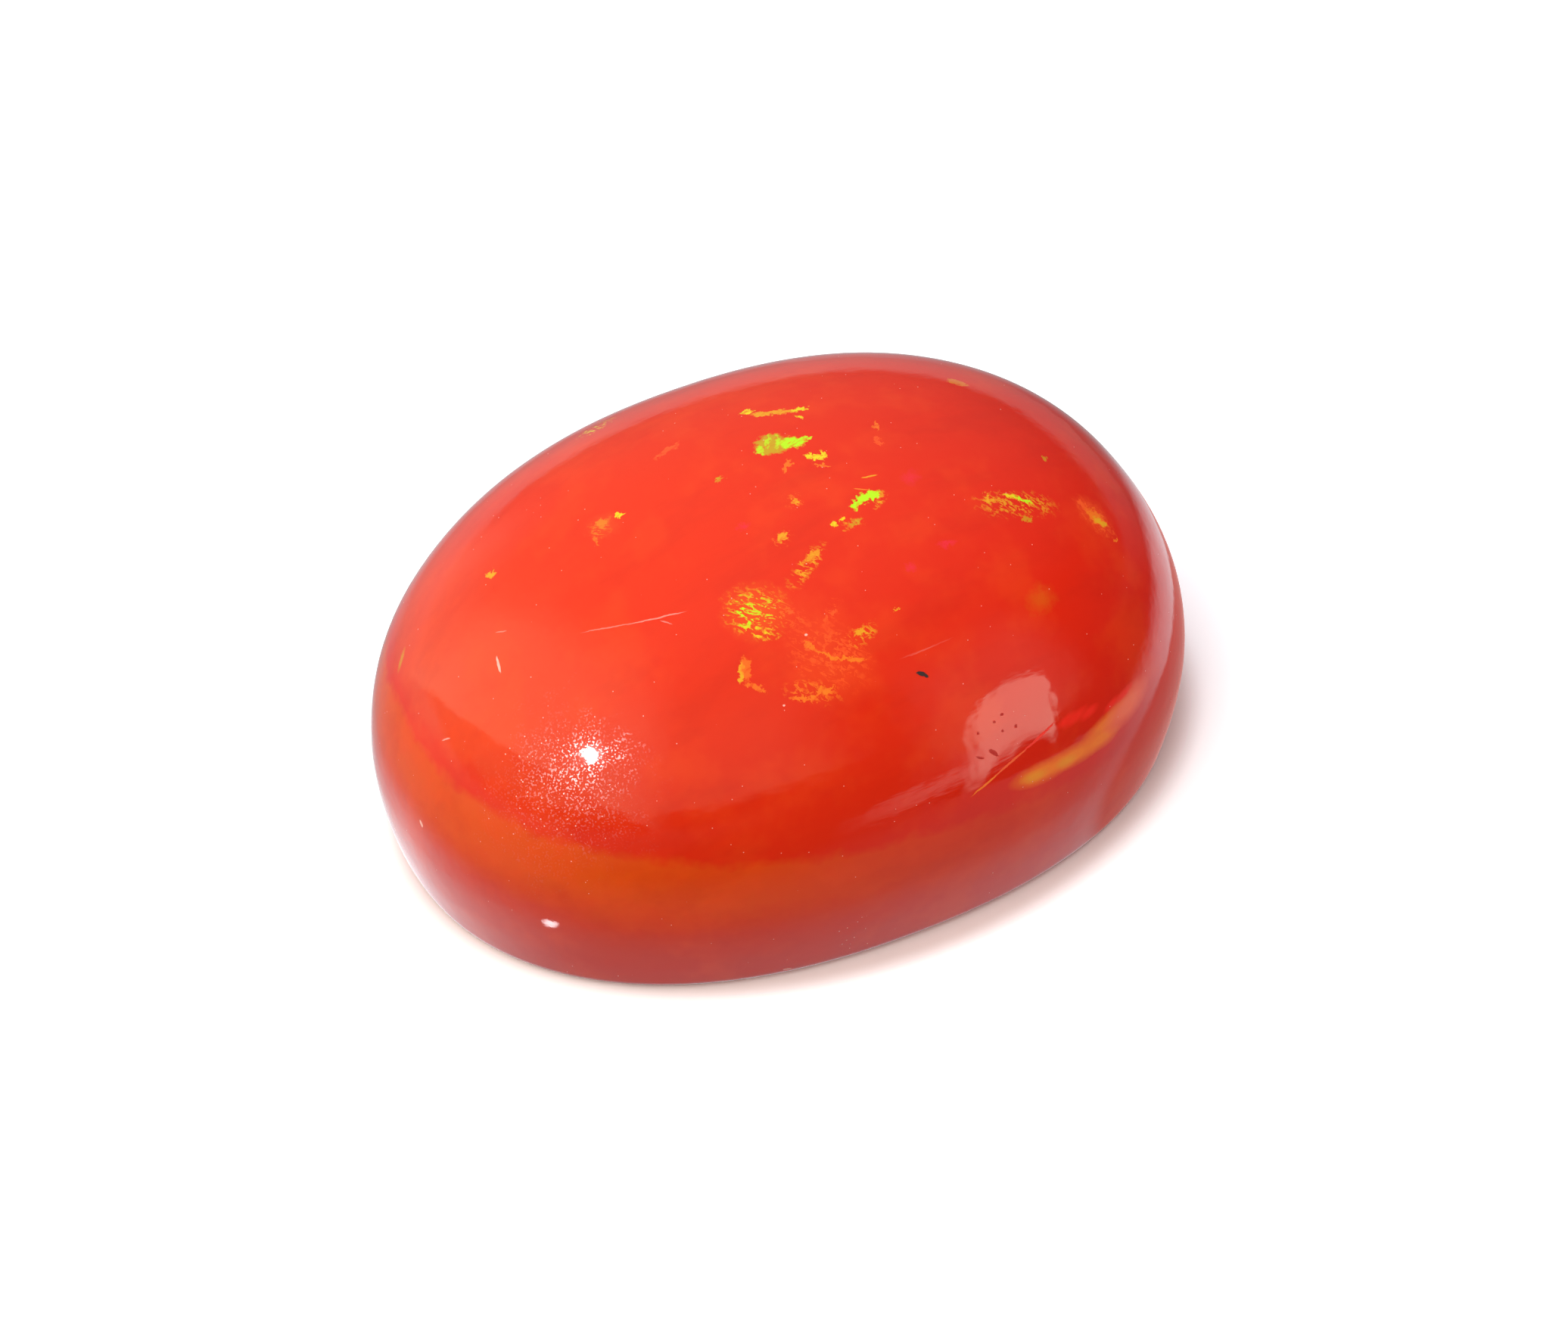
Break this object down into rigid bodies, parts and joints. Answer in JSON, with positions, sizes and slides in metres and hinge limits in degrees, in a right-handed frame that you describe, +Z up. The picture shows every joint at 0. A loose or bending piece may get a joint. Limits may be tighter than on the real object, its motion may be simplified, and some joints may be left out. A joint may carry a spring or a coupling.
{
  "type": "opal cabochon",
  "caption": "Polished oval opal cabochon, orange-red and translucent with green and yellow play of colour, high dome on a low wall, flat base to rest or set on.",
  "frame": {"origin": "middle of the flat base", "axes": "+Z up out of the dome's top, +X along the stone's length, +Y across its width"},
  "size_m": [0.012, 0.0088, 0.0057],
  "materials": {
    "opal": "hand-polished to a wet gloss, translucent orange-red with patches of green, yellow and orange play of colour"
  },
  "bodies": {
    "root": {"opal_cabochon": "opal"}
  },
  "joints": []
}
